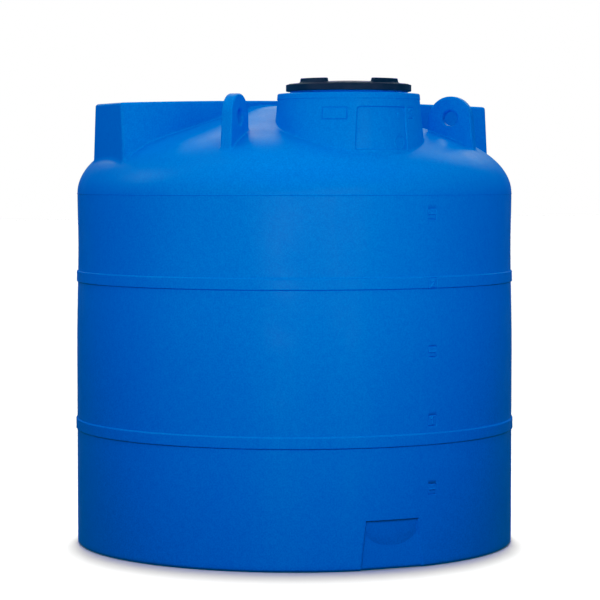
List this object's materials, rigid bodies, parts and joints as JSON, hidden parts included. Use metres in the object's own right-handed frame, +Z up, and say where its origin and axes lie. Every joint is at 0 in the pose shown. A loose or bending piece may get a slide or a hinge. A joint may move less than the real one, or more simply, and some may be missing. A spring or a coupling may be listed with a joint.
{
  "type": "vertical water storage tank",
  "caption": "Upright round plastic water tank with a domed roof, a hollow ridge across it, lifting lugs, body hoops and an offset manway neck closed by a screw lid with a small vent.",
  "frame": {"origin": "on the body's axis at the floor, at the centre of the flat base", "axes": "+Z up along the body's axis; the front, with the manway neck and the outlet flat, is -Y; the roof ridge runs along X"},
  "size_m": [1.6408, 1.6408, 1.7165],
  "materials": {
    "tank_blue": "satin moulded polyethylene, blue through its thickness",
    "lid_black": "blue-black moulded plastic, satin",
    "vent_black": "black moulded plastic",
    "gasket_rubber": "black sealing rubber",
    "screen_mesh": "fine woven wire mesh"
  },
  "bodies": {
    "tank": {"tank_body": "tank_blue", "tank_roof": "tank_blue", "tank_ridge": "tank_blue", "tank_neck": "tank_blue", "lug_front_right": "tank_blue", "lug_back": "tank_blue", "lug_front_left": "tank_blue"},
    "gasket": {"lid_gasket": "gasket_rubber"},
    "lid": {"manhole_lid": "lid_black", "vent_body": "vent_black", "vent_gasket": "gasket_rubber", "vent_nut": "vent_black", "vent_screen": "screen_mesh", "vent_cap": "vent_black"}
  },
  "joints": [
    {"name": "lid_lift", "type": "slide", "parent": "tank", "child": "gasket", "axis": [0, 0, 1], "range_m": [0, 0.45]},
    {"name": "lid_turn", "type": "hinge", "parent": "gasket", "child": "lid", "pos_m": [0, -0.459, 1.69], "axis": [0, 0, 1], "range_deg": [0, 540]}
  ]
}
